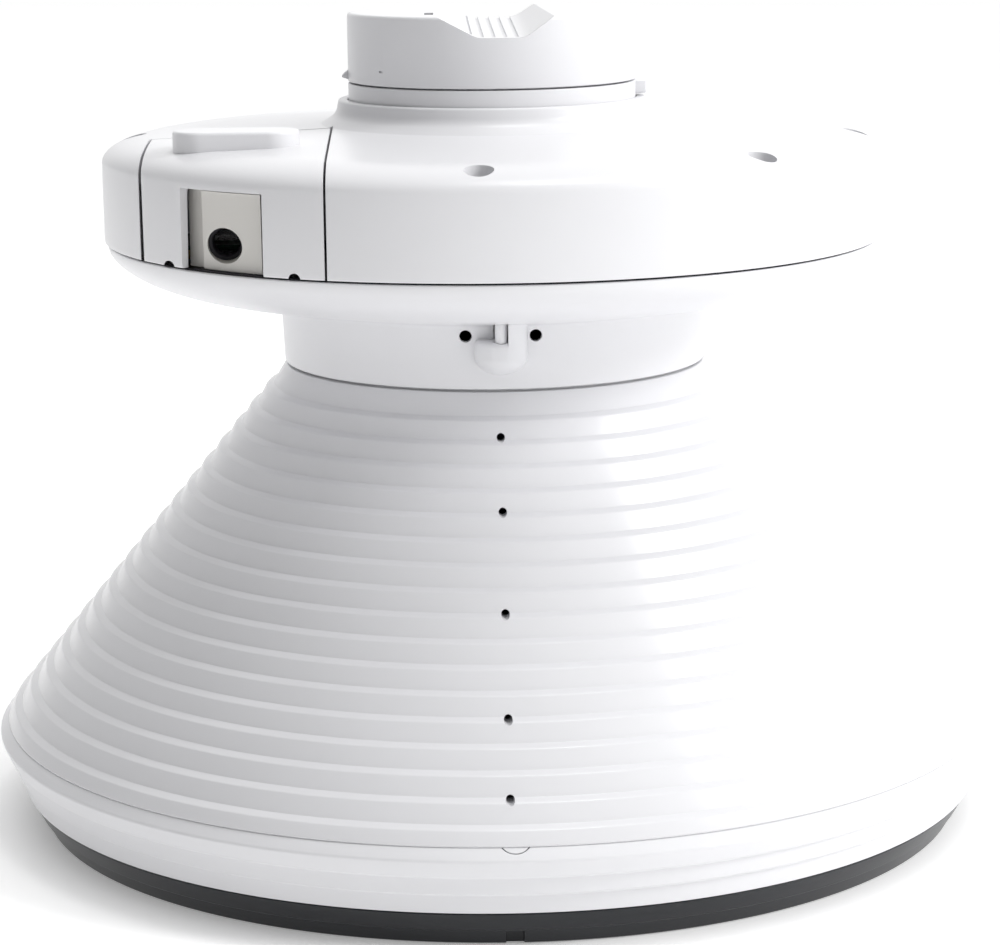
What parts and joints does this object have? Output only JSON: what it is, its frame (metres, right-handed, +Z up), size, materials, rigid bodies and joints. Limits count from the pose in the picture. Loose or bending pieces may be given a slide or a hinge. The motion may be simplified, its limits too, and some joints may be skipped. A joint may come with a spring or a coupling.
{
  "type": "horn radome antenna",
  "caption": "Horn antenna with a ribbed conical weather shroud, round electronics housing with a service cover and cable entry, and a turning mount cap.",
  "frame": {"origin": "on the axis, in the plane of the foot ring's underside", "axes": "+Z up along the horn's axis, from the aperture to the mount cap; -Y is the front, where the lock lug and drain holes are"},
  "size_m": [0.3768, 0.3768, 0.2953],
  "materials": {
    "white_shell": "satin white moulded plastic",
    "grey_block": "warm light grey, fine matt texture",
    "black_foot": "black slate, soft sheen",
    "window_sheet": "pale matt sheet",
    "rubber_seal": "matt black",
    "aluminium": "spun and machined",
    "steel": "zinc plated",
    "brass": "turned",
    "circuit_board": "green solder mask"
  },
  "bodies": {
    "antenna": {"foot_ring": "black_foot", "aperture_window": "window_sheet", "window_seal": "rubber_seal", "rim_ring": "white_shell", "ring_screw_1": "steel", "ring_screw_2": "steel", "ring_screw_3": "steel", "ring_screw_4": "steel", "ring_screw_5": "steel", "ring_screw_6": "steel", "horn_shroud": "white_shell", "inner_horn": "aluminium", "neck_seal": "rubber_seal", "lower_housing": "white_shell", "upper_housing": "white_shell", "housing_seal": "rubber_seal", "housing_screw_1": "steel", "housing_screw_2": "steel", "housing_screw_3": "steel", "housing_screw_4": "steel", "housing_screw_5": "steel", "housing_screw_6": "steel", "housing_screw_7": "steel", "entry_block": "grey_block", "entry_grommet": "rubber_seal", "lock_spring": "steel", "chassis_plate": "aluminium", "plate_screw_1": "steel", "plate_screw_2": "steel", "plate_screw_3": "steel", "plate_screw_4": "steel", "waveguide_tube": "aluminium", "main_board": "circuit_board", "standoff_1": "brass", "standoff_2": "brass", "standoff_3": "brass", "standoff_4": "brass", "board_screw_1": "steel", "board_screw_2": "steel", "board_screw_3": "steel", "board_screw_4": "steel", "shield_can": "steel", "feed_probe_1": "brass", "feed_probe_2": "brass", "port_board": "circuit_board", "port_standoff_1": "brass", "port_standoff_2": "brass", "network_jack": "steel", "mounting_band": "white_shell", "detent_ball": "steel", "detent_spring": "steel"},
    "cap": {"turning_cap": "white_shell", "keeper_washer": "steel", "keeper_screw": "steel"},
    "cover": {"service_cover": "white_shell"},
    "pin": {"lock_pin": "white_shell"}
  },
  "joints": [
    {"name": "cap_turn", "type": "hinge", "parent": "antenna", "child": "cap", "pos_m": [0, 0, 0.27], "axis": [0, 0, 1], "range_deg": [0, 60]},
    {"name": "cover_slide", "type": "slide", "parent": "antenna", "child": "cover", "axis": [0, -1, 0], "range_m": [0, 0.06]},
    {"name": "pin_lift", "type": "slide", "parent": "antenna", "child": "pin", "axis": [0, 0, 1], "range_m": [0, 0.005], "stiffness_N_per_m": 250, "springref_m": -0.004, "deforming": ["lock_spring"]}
  ]
}
